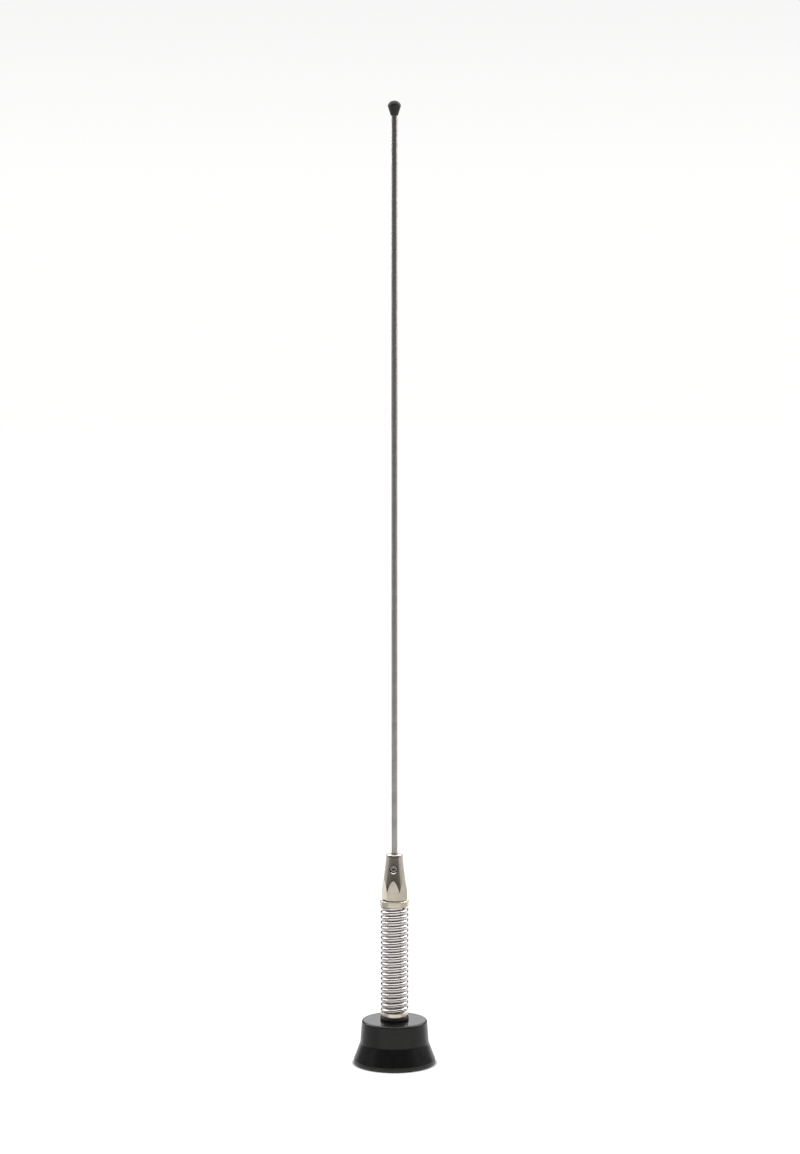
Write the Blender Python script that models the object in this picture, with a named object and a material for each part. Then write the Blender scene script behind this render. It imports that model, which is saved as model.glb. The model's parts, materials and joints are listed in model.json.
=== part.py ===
"""Vehicle whip antenna on a screw-on base with a flexing coil spring.

Lengths are written in millimetres and scaled to metres as each mesh is made. The antenna stands
along +Z. Its origin is the centre of the face that lies on the vehicle's roof, and its set screw
faces -Y.
"""

from math import cos, pi, radians, sin, tau

import bmesh
import bpy
from mathutils import Vector

MM = 0.001
GAP = 0.3  # clearance between neighbouring pieces
SEGMENTS = 40  # sides of a large turned piece
FEW_SEGMENTS = 20  # sides of a small one
PAST = 1.0  # how far a cutter reaches past the face it cuts

# Base housing: a flared skirt under a nearly straight drum.
LIP_R = 20.0
LIP_TOP_Z = 2.2
LIP_ROUND = 0.7
WAIST_R = 16.87
WAIST_Z = 10.5
DRUM_R = 16.05
BASE_TOP_Z = 21.65
BASE_EDGE_ROUND = 1.1
BASE_FOOT_Z = 0.4  # the gasket stands this far proud of the housing
BASE_ROOF = 2.75  # thickness of the housing's top wall
CAVITY_R = 14.2

# The roof mount's thread, 1-1/8 inch by 18 threads per inch, at its minor diameter.
THREAD_MINOR_R = 13.55
RING_WALL = 1.95
RING_Z = (0.7, 6.4)
RING_SHELF_R = 11.8
RING_SHELF = 1.0

GASKET_R = (16.8, 18.4)
GASKET_TOP_Z = 1.3
GASKET_CHAMFER = 0.2

INSULATOR_T = 1.5
LEAD_R = 12.7  # where the coil's earth end passes through the insulator

# Stud, its contact and the nut that clamps it.
STUD_LOWER_R = 3.97
STUD_UPPER_R = 3.17
STUD_FOOT_Z = 6.2
STUD_SHOULDER_Z = 14.9
STUD_TOP_Z = 27.5
CONTACT_BORE_R = 2.6
CONTACT_BORE_TOP_Z = 14.2
PIN_TIP_Z = 5.2
PIN_R = 1.25
PIN_HEAD_R = 2.2
PIN_HEAD = 1.0
PIN_TIP_CHAMFER = 0.35
RETAINER_Z = (6.4, 8.3)
CONTACT_WIRE_R = 0.22
CONTACT_TURNS = 4
NUT_ACROSS_FLATS = 12.7
NUT_T = 2.7
LUG_T = 0.5
LUG_R = 6.4
LUG_TAB_R = 12.8
LUG_TAB_WIDTH = 2.6
LUG_TAB_OVERLAP = 1.5  # how far the tab starts inside the lug's rim

# Matching coil on its bobbin.
FORMER_TOP_Z = 14.6
FORMER_BORE_R = 5.4
FORMER_CORE_R = 9.1
FORMER_FLANGE_R = 11.2
FORMER_FLANGE = 0.8
COIL_WIRE_R = 0.5
COIL_TURNS = 2.4
COIL_PITCH = 1.3
COIL_START = 195.0  # degrees about Z

# Spring and its two ferrules.
WASHER_R = 7.0
WASHER_Z = (21.9, 22.9)
LOWER_FLANGE_R = 6.66
LOWER_FLANGE_Z = (23.15, 25.5)
LOWER_FLANGE_FOOT_CHAMFER = 0.5
SPRING_Z = (25.7, 78.5)  # the faces that its two end coils are ground to
SPRING_MEAN_R = 5.82
WIRE_R = 1.17
SPRING_PITCH = 2.561
SPRING_START = 82.0  # degrees about Z to the wire's lower end
PLUG_R = 4.3
PLUG_LENGTH = 5.8
UPPER_FLANGE_R = 7.2
UPPER_FLANGE_Z = (78.7, 81.2)
UPPER_STUD_TOP_Z = 89.5
FLANGE_CHAMFER = 0.25

# Braid inside the spring, crimped into a sleeve at each end.
BRAID_R = 1.3
BRAID_SLACK = 1.6
BRAID_BENDS = 3
BRAID_STEPS = 20
SLEEVE_R = (1.6, 2.1)
SLEEVE_LENGTH = 4.0
SLEEVE_BORE_R = 2.4
SLEEVE_BORE = 2.7

# Whip holder: hexagonal bar, turned to a slightly hollow cone above its wrench flats.
HOLDER_ACROSS_FLATS = 11.0
HOLDER_Z = (81.45, 104.1)
HOLDER_TAPER = ((84.8, 6.45), (91.4, 5.5), (97.5, 4.73), (103.75, 4.0))  # (height, radius)
HOLDER_RIM_R = 3.65
HOLDER_TURN = -6.0  # degrees from -Y to the flat that carries the set screw
WHIP_BORE_R = 1.75
WHIP_BORE_Z = 91.0
STUD_BORE_TOP_Z = 90.0

# Set screw, M4.
SET_SCREW_Z = 97.5
SET_SCREW_R = 2.0
SET_SCREW_REACH = (1.8, 4.0)  # from the whip's axis: its point and its socket end
SET_SCREW_SOCKET_AF = 2.0
SET_SCREW_SOCKET = 1.2
SET_SCREW_CHAMFER = 0.25

WHIP_R = 1.5
WHIP_TOP_Z = 464.5
WHIP_CHAMFER = 0.3

TIP_Z = (461.7, 468.85)
TIP_R = 3.14
TIP_NECK_R = 1.74
TIP_WIDEST_Z = 466.2
TIP_SHOULDER = (3.0, 465.5)  # (radius, height) of the ball's lower edge, where the cone begins
TIP_BORE_R = 1.56
DOME_STEPS = 6

# Where the spring bends: the middle of each half of the coils that are free of the plugs.
FREE_COILS_Z = (33.8, 71.2)
FORE_AFT_PIVOT_Z = FREE_COILS_Z[0] * 0.75 + FREE_COILS_Z[1] * 0.25
SIDEWAYS_PIVOT_Z = FREE_COILS_Z[0] * 0.25 + FREE_COILS_Z[1] * 0.75


def clear_scene():
    for obj in list(bpy.data.objects):
        bpy.data.objects.remove(obj, do_unlink=True)


def make_material(name, colour, roughness, metallic=0.0):
    material = bpy.data.materials.new(name)
    material.use_nodes = True
    shader = material.node_tree.nodes["Principled BSDF"]
    shader.inputs["Base Color"].default_value = (*colour, 1.0)
    shader.inputs["Roughness"].default_value = roughness
    shader.inputs["Metallic"].default_value = metallic
    material.diffuse_color = (*colour, 1.0)
    return material


def add_piece(name, bm, material, smooth_below=35.0):
    """An object from a bmesh in millimetres, its faces turned outwards."""
    bmesh.ops.recalc_face_normals(bm, faces=bm.faces)
    bmesh.ops.scale(bm, vec=Vector((MM, MM, MM)), verts=bm.verts)
    mesh = bpy.data.meshes.new(name)
    bm.to_mesh(mesh)
    bm.free()
    mesh.shade_smooth()
    mesh.set_sharp_from_angle(angle=radians(smooth_below))
    obj = bpy.data.objects.new(name, mesh)
    if material:
        mesh.materials.append(material)
    bpy.context.collection.objects.link(obj)
    return obj


def add_cutter(name, bm):
    cutter = add_piece(name, bm, None)
    cutter.hide_render = True
    cutter.display_type = "WIRE"
    return cutter


def add_boolean(obj, operation, cutter):
    modifier = obj.modifiers.new(cutter.name, "BOOLEAN")
    modifier.operation = operation
    modifier.solver = "EXACT"
    modifier.object = cutter


def arc(centre_r, centre_z, radius, start, end, steps):
    """Points (r, z) along an arc, both ends included, with angles in degrees."""
    angles = [radians(start + (end - start) * i / steps) for i in range(steps + 1)]
    return [(centre_r + radius * cos(a), centre_z + radius * sin(a)) for a in angles]


def turned(outline, segments=SEGMENTS):
    """A solid of revolution about Z from a closed outline of (r, z) points."""
    bm = bmesh.new()
    verts = [bm.verts.new((r, 0.0, z)) for r, z in outline]
    edges = [
        bm.edges.new((a, b))
        for a, b in zip(verts, verts[1:] + verts[:1])
        if max(a.co.x, b.co.x) > 0.0
    ]
    bmesh.ops.spin(
        bm, geom=verts + edges, axis=(0, 0, 1), cent=(0, 0, 0), angle=tau, steps=segments, use_merge=True
    )
    bmesh.ops.remove_doubles(bm, verts=bm.verts, dist=1e-4)
    return bm


def tube(inner, outer, low, high, chamfer=0.0):
    """Outline of a ring with square or chamfered outer corners."""
    if not chamfer:
        return [(inner, low), (outer, low), (outer, high), (inner, high)]
    return [
        (inner, low), (outer - chamfer, low), (outer, low + chamfer),
        (outer, high - chamfer), (outer - chamfer, high), (inner, high),
    ]


def drill(radius, low, high):
    """A plain round bar about Z, for cutting a hole."""
    return turned([(0, low), (radius, low), (radius, high), (0, high)], FEW_SEGMENTS)


def prism(across_flats, low, high, turn=0.0, sides=6):
    """An upright bar with a flat facing -Y, turned by some degrees about Z."""
    bm = bmesh.new()
    radius = across_flats / 2 / cos(pi / sides)
    first = radians(turn) - pi / 2 + pi / sides
    corners = [
        bm.verts.new((radius * cos(first + tau * k / sides), radius * sin(first + tau * k / sides), low))
        for k in range(sides)
    ]
    made = bmesh.ops.extrude_face_region(bm, geom=[bm.faces.new(corners)])
    top = [v for v in made["geom"] if isinstance(v, bmesh.types.BMVert)]
    bmesh.ops.translate(bm, verts=top, vec=(0, 0, high - low))
    return bm


def swept(path, radius, sides):
    """A closed round wire along a path. Each ring keeps the last one's direction, so the wire has no twist."""
    bm = bmesh.new()
    rings = []
    across = (path[1] - path[0]).orthogonal()
    for i, point in enumerate(path):
        tangent = (path[min(i + 1, len(path) - 1)] - path[max(i - 1, 0)]).normalized()
        across = (across - tangent * across.dot(tangent)).normalized()
        up = tangent.cross(across)
        angles = [tau * k / sides for k in range(sides)]
        rings.append([bm.verts.new(point + (across * cos(a) + up * sin(a)) * radius) for a in angles])
    for low, high in zip(rings, rings[1:]):
        for k in range(sides):
            bm.faces.new((low[k], low[(k + 1) % sides], high[(k + 1) % sides], high[k]))
    bm.faces.new(rings[0])
    bm.faces.new(rings[-1])
    return bm


def helix(radius, low, turns, pitch, start=0.0, steps_per_turn=15):
    """Centre line of a right-handed coil that starts at a height and an angle in degrees."""
    steps = round(turns * steps_per_turn)
    points = []
    for i in range(steps + 1):
        turn = turns * i / steps
        angle = radians(start) + tau * turn
        points.append(Vector((radius * cos(angle), radius * sin(angle), low + pitch * turn)))
    return points


def add_pivot(name, location, parent=None):
    """An empty on a joint's axis, for the pieces that the joint moves."""
    pivot = bpy.data.objects.new(name, None)
    pivot.empty_display_size = 5 * MM
    pivot.location = Vector(location) * MM
    bpy.context.collection.objects.link(pivot)
    if parent:
        hang(pivot, parent)
    return pivot


def hang(piece, pivot):
    """Parent a piece to a pivot and leave it where it is."""
    bpy.context.view_layer.update()
    piece.parent = pivot
    piece.matrix_parent_inverse = pivot.matrix_world.inverted()


def set_screw_direction():
    angle = radians(HOLDER_TURN) - pi / 2
    return Vector((cos(angle), sin(angle), 0.0))


def along_set_screw(bm):
    """Lay a piece made upright at the origin along the set screw's axis."""
    turn = Vector((0, 0, 1)).rotation_difference(set_screw_direction()).to_matrix()
    bmesh.ops.rotate(bm, verts=bm.verts, matrix=turn)
    bmesh.ops.translate(bm, verts=bm.verts, vec=(0, 0, SET_SCREW_Z))
    return bm


# Base


def ring_outer_r():
    return THREAD_MINOR_R + RING_WALL


def insulator_z():
    return RING_Z[1] + GAP, RING_Z[1] + GAP + INSULATOR_T


def make_base_housing(material):
    seat_r = ring_outer_r() + GAP
    seat_top = insulator_z()[1] + GAP
    groove = GASKET_R[0] - GAP, GASKET_R[1] + GAP
    groove_top = GASKET_TOP_Z + GAP
    ceiling = BASE_TOP_Z - BASE_ROOF
    hole_r = STUD_UPPER_R + GAP
    foot_r = LIP_R - LIP_ROUND
    edge_r = DRUM_R - BASE_EDGE_ROUND
    outline = [
        (seat_r, BASE_FOOT_Z), (groove[0], BASE_FOOT_Z), (groove[0], groove_top),
        (groove[1], groove_top), (groove[1], BASE_FOOT_Z),
        *arc(foot_r, BASE_FOOT_Z + LIP_ROUND, LIP_ROUND, -90, 0, 3),
        (LIP_R, LIP_TOP_Z), (WAIST_R, WAIST_Z),
        *arc(edge_r, BASE_TOP_Z - BASE_EDGE_ROUND, BASE_EDGE_ROUND, 0, 90, 4),
        (hole_r, BASE_TOP_Z), (hole_r, ceiling), (CAVITY_R, ceiling),
        (CAVITY_R, seat_top), (seat_r, seat_top),
    ]
    return add_piece("base_housing", turned(outline), material)


def make_base_gasket(material):
    inner, outer = GASKET_R
    outline = tube(inner, outer, 0.0, GASKET_TOP_Z, GASKET_CHAMFER)
    return add_piece("base_gasket", turned(outline), material)


def make_threaded_ring(material):
    low, high = RING_Z
    shelf = high - RING_SHELF
    outline = [
        (THREAD_MINOR_R, low), (ring_outer_r(), low), (ring_outer_r(), high),
        (RING_SHELF_R, high), (RING_SHELF_R, shelf), (THREAD_MINOR_R, shelf),
    ]
    return add_piece("threaded_ring", turned(outline), material)


def make_contact_insulator(material):
    low, high = insulator_z()
    disc = turned(tube(STUD_LOWER_R + GAP, ring_outer_r(), low, high))
    insulator = add_piece("contact_insulator", disc, material)
    hole = drill(COIL_WIRE_R + GAP, low - PAST, high + PAST)
    bmesh.ops.translate(hole, verts=hole.verts, vec=(-LEAD_R, 0, 0))
    add_boolean(insulator, "DIFFERENCE", add_cutter("cut_lead_hole", hole))
    return insulator


def make_coil_former(material):
    low = insulator_z()[1] + GAP
    high = FORMER_TOP_Z
    outline = [
        (FORMER_BORE_R, low), (FORMER_FLANGE_R, low), (FORMER_FLANGE_R, low + FORMER_FLANGE),
        (FORMER_CORE_R, low + FORMER_FLANGE), (FORMER_CORE_R, high - FORMER_FLANGE),
        (FORMER_FLANGE_R, high - FORMER_FLANGE), (FORMER_FLANGE_R, high), (FORMER_BORE_R, high),
    ]
    return add_piece("coil_former", turned(outline), material)


def make_matching_coil(material):
    """One wire: an earth lead up through the insulator, the coil, and a tail to the solder lug."""
    radius = FORMER_CORE_R + GAP + COIL_WIRE_R
    low = insulator_z()[1] + 2 * GAP + FORMER_FLANGE + COIL_WIRE_R
    coil = helix(radius, low, COIL_TURNS, COIL_PITCH, COIL_START)
    bend = COIL_WIRE_R
    tail_r = FORMER_FLANGE_R + GAP + COIL_WIRE_R
    tail_z = coil[-1].z + bend
    path = [
        Vector((-LEAD_R, 0, RING_Z[1] + GAP)),
        Vector((-LEAD_R, 0, low - bend)),
        Vector((-LEAD_R + bend, -bend, low)),
        *coil,
        Vector((tail_r - bend, -bend, tail_z - bend)),
        Vector((tail_r, 0, tail_z)),
        Vector((tail_r, 0, STUD_SHOULDER_Z)),
    ]
    return add_piece("matching_coil", swept(path, COIL_WIRE_R, 6), material)


def make_coil_tap_lug(material):
    low = STUD_SHOULDER_Z + GAP
    bm = turned(tube(STUD_UPPER_R + GAP, LUG_R, low, low + LUG_T), FEW_SEGMENTS)
    lug = add_piece("coil_tap_lug", bm, material)
    tab = bmesh.new()
    bmesh.ops.create_cube(tab, size=1.0)
    inner = LUG_R - LUG_TAB_OVERLAP
    bmesh.ops.scale(tab, vec=(LUG_TAB_R - inner, LUG_TAB_WIDTH, LUG_T), verts=tab.verts)
    bmesh.ops.translate(tab, verts=tab.verts, vec=((LUG_TAB_R + inner) / 2, 0, low + LUG_T / 2))
    add_boolean(lug, "UNION", add_cutter("join_lug_tab", tab))
    return lug


def make_base_stud(material):
    outline = [
        (CONTACT_BORE_R, STUD_FOOT_Z), (STUD_LOWER_R, STUD_FOOT_Z),
        (STUD_LOWER_R, STUD_SHOULDER_Z), (STUD_UPPER_R, STUD_SHOULDER_Z),
        (STUD_UPPER_R, STUD_TOP_Z - FLANGE_CHAMFER), (STUD_UPPER_R - FLANGE_CHAMFER, STUD_TOP_Z),
        (0, STUD_TOP_Z), (0, CONTACT_BORE_TOP_Z), (CONTACT_BORE_R, CONTACT_BORE_TOP_Z),
    ]
    return add_piece("base_stud", turned(outline, FEW_SEGMENTS), material)


def make_stud_nut(material):
    low = STUD_SHOULDER_Z + GAP + LUG_T + GAP
    high = low + NUT_T
    nut = add_piece("stud_nut", prism(NUT_ACROSS_FLATS, low, high), material)
    bore = drill(STUD_UPPER_R + GAP, low - PAST, high + PAST)
    add_boolean(nut, "DIFFERENCE", add_cutter("cut_nut_bore", bore))
    return nut


def pin_head_z():
    return RETAINER_Z[1] + GAP, RETAINER_Z[1] + GAP + PIN_HEAD


def make_contact_pin(material):
    head_low, head_high = pin_head_z()
    outline = [
        (0, PIN_TIP_Z), (PIN_R - PIN_TIP_CHAMFER, PIN_TIP_Z), (PIN_R, PIN_TIP_Z + PIN_TIP_CHAMFER),
        (PIN_R, head_low), (PIN_HEAD_R, head_low), (PIN_HEAD_R, head_high), (0, head_high),
    ]
    return add_piece("contact_pin", turned(outline, FEW_SEGMENTS), material)


def make_contact_retainer(material):
    outline = tube(PIN_R + GAP, CONTACT_BORE_R - GAP / 2, *RETAINER_Z)
    return add_piece("contact_retainer", turned(outline, FEW_SEGMENTS), material)


def make_contact_spring(material):
    low = pin_head_z()[1] + GAP + CONTACT_WIRE_R
    high = CONTACT_BORE_TOP_Z - GAP - CONTACT_WIRE_R
    radius = PIN_HEAD_R - CONTACT_WIRE_R
    path = helix(radius, low, CONTACT_TURNS, (high - low) / CONTACT_TURNS)
    return add_piece("contact_spring", swept(path, CONTACT_WIRE_R, 5), material)


# Spring and ferrules


def make_ferrule_washer(material):
    outline = tube(STUD_UPPER_R + GAP, WASHER_R, *WASHER_Z, chamfer=FLANGE_CHAMFER)
    return add_piece("ferrule_washer", turned(outline), material)


def make_spring_bottom_ferrule(material):
    low, high = LOWER_FLANGE_Z
    plug_top = high + PLUG_LENGTH
    stud_r = STUD_UPPER_R + GAP
    stud_top = STUD_TOP_Z + GAP
    sleeve_low = plug_top - SLEEVE_BORE
    foot = LOWER_FLANGE_FOOT_CHAMFER
    chamfer = FLANGE_CHAMFER
    outline = [
        (stud_r, low), (LOWER_FLANGE_R - foot, low), (LOWER_FLANGE_R, low + foot),
        (LOWER_FLANGE_R, high - chamfer), (LOWER_FLANGE_R - chamfer, high),
        (PLUG_R, high), (PLUG_R, plug_top), (SLEEVE_BORE_R, plug_top),
        (SLEEVE_BORE_R, sleeve_low), (0, sleeve_low), (0, stud_top), (stud_r, stud_top),
    ]
    return add_piece("spring_bottom_ferrule", turned(outline), material)


def make_spring_top_ferrule(material):
    low, high = UPPER_FLANGE_Z
    plug_low = low - PLUG_LENGTH
    sleeve_top = plug_low + SLEEVE_BORE
    chamfer = FLANGE_CHAMFER
    outline = [
        (SLEEVE_BORE_R, plug_low), (PLUG_R, plug_low), (PLUG_R, low),
        (UPPER_FLANGE_R - chamfer, low), (UPPER_FLANGE_R, low + chamfer),
        (UPPER_FLANGE_R, high - chamfer), (UPPER_FLANGE_R - chamfer, high),
        (STUD_UPPER_R, high), (STUD_UPPER_R, UPPER_STUD_TOP_Z - chamfer),
        (STUD_UPPER_R - chamfer, UPPER_STUD_TOP_Z), (0, UPPER_STUD_TOP_Z),
        (0, sleeve_top), (SLEEVE_BORE_R, sleeve_top),
    ]
    return add_piece("spring_top_ferrule", turned(outline), material)


def make_flex_spring(material):
    """A coil spring, each end coil ground flat until half the wire is left at its tip."""
    low, high = SPRING_Z
    path = helix(SPRING_MEAN_R, low, (high - low) / SPRING_PITCH, SPRING_PITCH, SPRING_START)
    wire = swept(path, WIRE_R, 6)
    for vert in wire.verts:
        vert.co.z = min(max(vert.co.z, low), high)
    return add_piece("flex_spring", wire, material, smooth_below=80.0)


def sleeve_z():
    """Heights of the lower and the upper sleeve, each standing in its ferrule's bore."""
    lower = LOWER_FLANGE_Z[1] + PLUG_LENGTH - SLEEVE_BORE + GAP
    upper = UPPER_FLANGE_Z[0] - PLUG_LENGTH + SLEEVE_BORE - GAP
    return (lower, lower + SLEEVE_LENGTH), (upper - SLEEVE_LENGTH, upper)


def make_shunt_braid(material):
    (low, bow_start), (bow_end, high) = sleeve_z()
    path = [Vector((0, 0, low + GAP))]
    for i in range(BRAID_STEPS + 1):
        share = i / BRAID_STEPS
        bow = BRAID_SLACK * sin(pi * share) ** 2 * cos(BRAID_BENDS * pi * share)
        path.append(Vector((bow, 0, bow_start + (bow_end - bow_start) * share)))
    path.append(Vector((0, 0, high - GAP)))
    return add_piece("shunt_braid", swept(path, BRAID_R, 8), material)


def make_braid_sleeves(material):
    lower, upper = sleeve_z()
    return [
        add_piece(name, turned(tube(*SLEEVE_R, *span), FEW_SEGMENTS), material)
        for name, span in (("braid_bottom_sleeve", lower), ("braid_top_sleeve", upper))
    ]


# Whip


def make_whip_holder(material):
    low, high = HOLDER_Z
    bar = prism(HOLDER_ACROSS_FLATS, low, high, HOLDER_TURN)
    holder = add_piece("whip_holder", bar, material)

    beyond = HOLDER_ACROSS_FLATS
    taper = [(radius, height) for height, radius in HOLDER_TAPER]
    blank = turned([
        (0, low - PAST), (beyond, low - PAST), (beyond, taper[0][1] - PAST), *taper,
        (HOLDER_RIM_R, high), (0, high),
    ])
    add_boolean(holder, "INTERSECT", add_cutter("limit_holder_blank", blank))

    stud_r = STUD_UPPER_R + GAP
    bores = {
        "cut_stud_bore": drill(stud_r, low - PAST, STUD_BORE_TOP_Z),
        "cut_whip_bore": drill(WHIP_BORE_R, WHIP_BORE_Z, high + PAST),
        "cut_set_screw_hole": along_set_screw(drill(SET_SCREW_R + GAP, 0, beyond)),
    }
    for name, bore in bores.items():
        add_boolean(holder, "DIFFERENCE", add_cutter(name, bore))
    return holder


def make_set_screw(material):
    point, end = SET_SCREW_REACH
    chamfer = SET_SCREW_CHAMFER
    body = turned([
        (0, point), (SET_SCREW_R - 2 * chamfer, point), (SET_SCREW_R, point + 2 * chamfer),
        (SET_SCREW_R, end - chamfer), (SET_SCREW_R - chamfer, end), (0, end),
    ], FEW_SEGMENTS)
    screw = add_piece("set_screw", along_set_screw(body), material)
    socket = along_set_screw(prism(SET_SCREW_SOCKET_AF, end - SET_SCREW_SOCKET, end + PAST))
    add_boolean(screw, "DIFFERENCE", add_cutter("cut_screw_socket", socket))
    return screw


def make_whip_rod(material):
    low = WHIP_BORE_Z + GAP
    outline = [
        (0, low), (WHIP_R - WHIP_CHAMFER, low), (WHIP_R, low + WHIP_CHAMFER),
        (WHIP_R, WHIP_TOP_Z - WHIP_CHAMFER), (WHIP_R - WHIP_CHAMFER, WHIP_TOP_Z), (0, WHIP_TOP_Z),
    ]
    return add_piece("whip_rod", turned(outline, FEW_SEGMENTS), material)


def make_tip_cap(material):
    """A ball whose underside runs down as a cone to the whip, bored from below."""
    low, high = TIP_Z
    dome = [
        (TIP_R * cos(a), TIP_WIDEST_Z + (high - TIP_WIDEST_Z) * sin(a))
        for a in (pi / 2 * i / DOME_STEPS for i in range(DOME_STEPS))
    ]
    bore_top = WHIP_TOP_Z + GAP
    outline = [
        (TIP_BORE_R, low), (TIP_NECK_R, low), TIP_SHOULDER, *dome, (0, high),
        (0, bore_top), (TIP_BORE_R, bore_top),
    ]
    return add_piece("tip_cap", turned(outline, FEW_SEGMENTS), material)


def main():
    clear_scene()
    black_plastic = make_material("black_plastic", (0.020, 0.020, 0.021), 0.38)
    black_rubber = make_material("black_rubber", (0.012, 0.012, 0.012), 0.75)
    tip_vinyl = make_material("tip_vinyl", (0.018, 0.018, 0.016), 0.5)
    brass = make_material("brass", (0.78, 0.57, 0.27), 0.3, 1.0)
    nickel = make_material("nickel_plate", (0.72, 0.68, 0.61), 0.22, 1.0)
    chrome = make_material("chrome_plate", (0.78, 0.78, 0.78), 0.1, 1.0)
    steel = make_material("satin_steel", (0.55, 0.54, 0.52), 0.35, 1.0)
    dark_steel = make_material("dark_steel", (0.30, 0.29, 0.28), 0.35, 1.0)
    copper = make_material("copper_wire", (0.72, 0.35, 0.20), 0.3, 1.0)
    tinned = make_material("tinned_copper", (0.70, 0.67, 0.62), 0.4, 1.0)
    cream_plastic = make_material("cream_plastic", (0.75, 0.71, 0.60), 0.5)
    gold = make_material("gold_plate", (0.83, 0.62, 0.25), 0.2, 1.0)

    make_base_housing(black_plastic)
    make_base_gasket(black_rubber)
    make_threaded_ring(brass)
    make_contact_insulator(cream_plastic)
    make_coil_former(cream_plastic)
    make_matching_coil(copper)
    make_coil_tap_lug(tinned)
    make_base_stud(brass)
    make_stud_nut(nickel)
    make_contact_retainer(brass)
    make_contact_spring(chrome)
    make_ferrule_washer(black_rubber)
    make_spring_bottom_ferrule(nickel)
    lower_sleeve, upper_sleeve = make_braid_sleeves(tinned)

    pin_pivot = add_pivot("contact_pin_slide", (0, 0, PIN_TIP_Z))
    hang(make_contact_pin(gold), pin_pivot)

    fore_aft = add_pivot("fore_aft_pivot", (0, 0, FORE_AFT_PIVOT_Z))
    hang(make_flex_spring(chrome), fore_aft)
    hang(make_shunt_braid(tinned), fore_aft)

    sideways = add_pivot("sideways_pivot", (0, 0, SIDEWAYS_PIVOT_Z), fore_aft)
    for piece in (make_spring_top_ferrule(nickel), upper_sleeve, make_whip_holder(nickel)):
        hang(piece, sideways)

    screw_start = set_screw_direction() * SET_SCREW_REACH[0] + Vector((0, 0, SET_SCREW_Z))
    hang(make_set_screw(dark_steel), add_pivot("set_screw_slide", screw_start, sideways))

    whip_slide = add_pivot("whip_slide", (0, 0, WHIP_BORE_Z + GAP), sideways)
    for piece in (make_whip_rod(steel), make_tip_cap(tip_vinyl)):
        hang(piece, whip_slide)


main()
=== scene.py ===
"""Looks of the vehicle whip antenna: fine meshes, materials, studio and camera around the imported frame.

Lengths are in millimetres, in the frame's axes, and become metres as each mesh is made. The heights and
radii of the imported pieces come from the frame; the constants below are the shapes within them.
"""

import json
from math import atan2, cos, pi, radians, sin, sqrt, tan, tau

import bmesh
import bpy
import numpy as np
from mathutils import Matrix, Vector


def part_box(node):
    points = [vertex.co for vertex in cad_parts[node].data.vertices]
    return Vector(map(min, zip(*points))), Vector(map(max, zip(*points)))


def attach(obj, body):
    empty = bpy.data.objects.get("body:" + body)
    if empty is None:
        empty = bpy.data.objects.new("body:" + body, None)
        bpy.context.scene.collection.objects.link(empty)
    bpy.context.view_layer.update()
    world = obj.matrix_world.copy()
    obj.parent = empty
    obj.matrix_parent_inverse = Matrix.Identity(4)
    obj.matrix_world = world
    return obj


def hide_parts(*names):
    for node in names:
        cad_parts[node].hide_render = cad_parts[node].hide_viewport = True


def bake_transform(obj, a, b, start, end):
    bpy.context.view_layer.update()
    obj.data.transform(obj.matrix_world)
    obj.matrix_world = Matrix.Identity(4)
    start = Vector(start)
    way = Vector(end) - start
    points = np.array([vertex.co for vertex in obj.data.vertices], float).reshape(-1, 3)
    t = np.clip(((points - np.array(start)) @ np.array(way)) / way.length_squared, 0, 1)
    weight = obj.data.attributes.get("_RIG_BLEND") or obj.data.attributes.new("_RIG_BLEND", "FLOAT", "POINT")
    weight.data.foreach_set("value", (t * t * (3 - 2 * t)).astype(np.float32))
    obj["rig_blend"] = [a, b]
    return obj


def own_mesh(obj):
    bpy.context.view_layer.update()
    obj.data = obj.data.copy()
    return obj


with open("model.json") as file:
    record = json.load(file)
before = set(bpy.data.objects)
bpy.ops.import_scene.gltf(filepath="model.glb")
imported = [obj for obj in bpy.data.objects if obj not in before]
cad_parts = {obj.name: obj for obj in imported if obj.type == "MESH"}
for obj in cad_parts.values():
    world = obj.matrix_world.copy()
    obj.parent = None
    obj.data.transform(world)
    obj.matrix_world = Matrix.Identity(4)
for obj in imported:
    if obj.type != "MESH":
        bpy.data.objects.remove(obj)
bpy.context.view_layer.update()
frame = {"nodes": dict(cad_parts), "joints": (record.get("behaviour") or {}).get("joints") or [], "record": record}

MM = 0.001
SNUG = 0.02  # what is left of the gap between two pieces that touch

# Housing
LIP_TOP_Z = 2.2
LIP_ROUND = 0.7
LIP_FILLET = 1.6
WAIST_R = 16.87
WAIST_Z = 10.5
WAIST_FILLET = 4.0
DRUM_R = 16.05
TOP_ROUND = 1.1
ROOF = 2.75
CAVITY_R = 14.2

# Roof mount's thread, 1-1/8 inch by 18 threads per inch
MOUNT_PITCH = 25.4 / 18
MOUNT_THREAD = 0.72
MOUNT_CREST_R = 13.55
RING_SHELF_R = 11.8
RING_SHELF = 1.0

# Contact pin, its sleeve and the spring behind it
PIN_R = 1.25
PIN_HEAD_R = 2.2
PIN_HEAD = 1.0
PIN_SLEEVE_BORE_R = 1.32
CONTACT_WIRE_R = 0.22
CONTACT_WIRE_SIDES = 10
CONTACT_TURNS = 4

# Spring and the braid inside it
WIRE_R = 1.17
SPRING_MEAN_R = 5.82
SPRING_PITCH = 2.561
SPRING_START = radians(82.0)
WIRE_SIDES = 24
PLUG_R = 4.3
SLEEVE_BORE_R = 2.4
SLEEVE_BORE = 2.7
COLLAR_GAP = 0.12  # under the whip holder's foot
HINGE_SPAN = 16.3  # length of spring that bends at each of its two hinges
BRAID_R = 1.12
BRAID_SLACK = 1.6
BRAID_STRANDS = 6  # each way
BRAID_LEAD = 12.0
RIBBON = (0.30, 0.08)

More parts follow.
